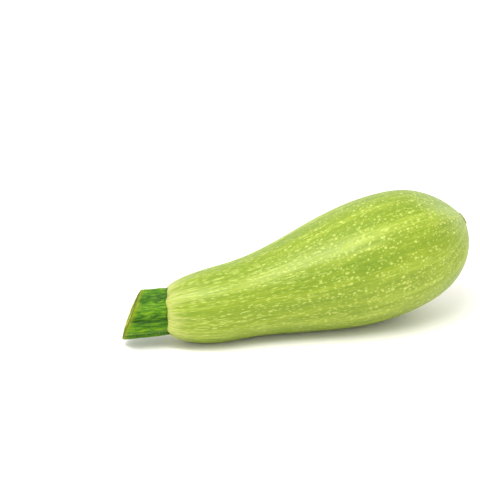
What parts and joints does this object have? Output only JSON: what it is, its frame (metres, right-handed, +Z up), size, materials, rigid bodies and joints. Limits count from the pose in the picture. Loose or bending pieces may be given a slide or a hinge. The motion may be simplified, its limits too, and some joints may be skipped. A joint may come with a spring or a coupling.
{
  "type": "zucchini",
  "caption": "Whole pale green bottle-shaped zucchini lying on its side, with a lobed shoulder, a blossom scar and a ridged, slantingly cut stem stub.",
  "frame": {"origin": "on the surface that the fruit lies on, under the middle of the bounding box", "axes": "+X along the fruit from the stem to the blossom end, +Z up, +Y towards the fruit's far side as the picture shows it"},
  "size_m": [0.1792, 0.0618, 0.0651],
  "materials": {
    "skin": "waxy pale green vegetable skin with cream flecks and streaks, soft sheen",
    "stem": "ridged green stalk, satin, with a paler cut face"
  },
  "bodies": {
    "root": {"fruit": "skin", "stem": "stem"}
  },
  "joints": []
}
